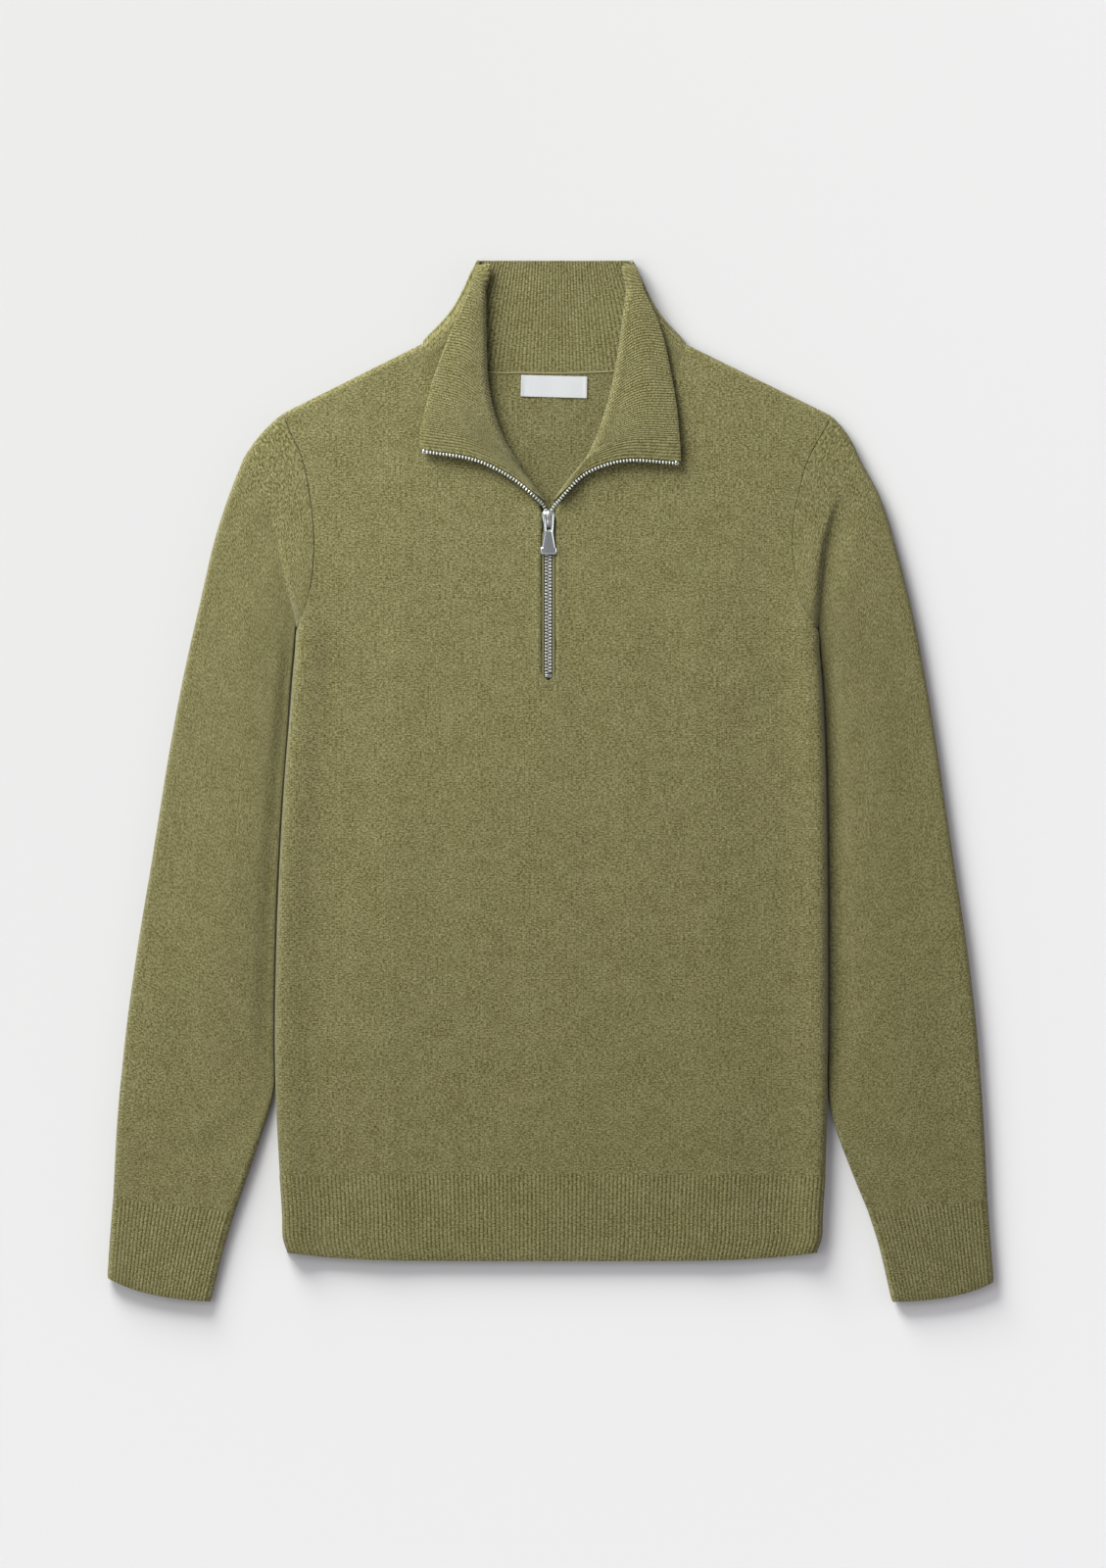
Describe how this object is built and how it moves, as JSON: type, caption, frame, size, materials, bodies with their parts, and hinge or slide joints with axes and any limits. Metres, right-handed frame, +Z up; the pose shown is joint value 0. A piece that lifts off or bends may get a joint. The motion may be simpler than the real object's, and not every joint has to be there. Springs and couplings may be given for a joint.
{
  "type": "quarter zip sweater",
  "caption": "Knitted quarter zip sweater laid flat front up, with a ribbed turned-over collar, long sleeves, ribbed cuffs and hem and a metal neck zip.",
  "frame": {"origin": "centre of the bounding box on the surface that the sweater lies on", "axes": "+Z up, away from the surface and out of the front; +Y towards the collar; +X towards the sleeve worn on the left arm"},
  "size_m": [0.6641, 0.7806, 0.0177],
  "materials": {
    "knit": "matte melange olive knit",
    "zip_tape": "matte woven tape",
    "woven_label": "smooth woven white, blank",
    "polished_nickel": "polished"
  },
  "bodies": {
    "garment": {"back_panel": "knit", "collar": "knit", "cuff_left": "knit", "cuff_right": "knit", "front_panel": "knit", "hem_back": "knit", "hem_front": "knit", "neck_label": "woven_label", "sleeve_left": "knit", "sleeve_right": "knit", "zip_bottom_stop": "polished_nickel", "zip_slider": "polished_nickel", "zip_tape_left": "zip_tape", "zip_tape_right": "zip_tape", "zip_teeth_closed": "polished_nickel", "zip_teeth_left": "polished_nickel", "zip_teeth_right": "polished_nickel", "zip_top_stop_left": "polished_nickel", "zip_top_stop_right": "polished_nickel"},
    "pull_tab": {"zip_pull_tab": "polished_nickel"}
  },
  "joints": [
    {"name": "tab_swing", "type": "hinge", "parent": "garment", "child": "pull_tab", "pos_m": [-0.0015, 0.2001, 0.0118], "axis": [-1, 0, 0], "range_deg": [0, 160]}
  ]
}
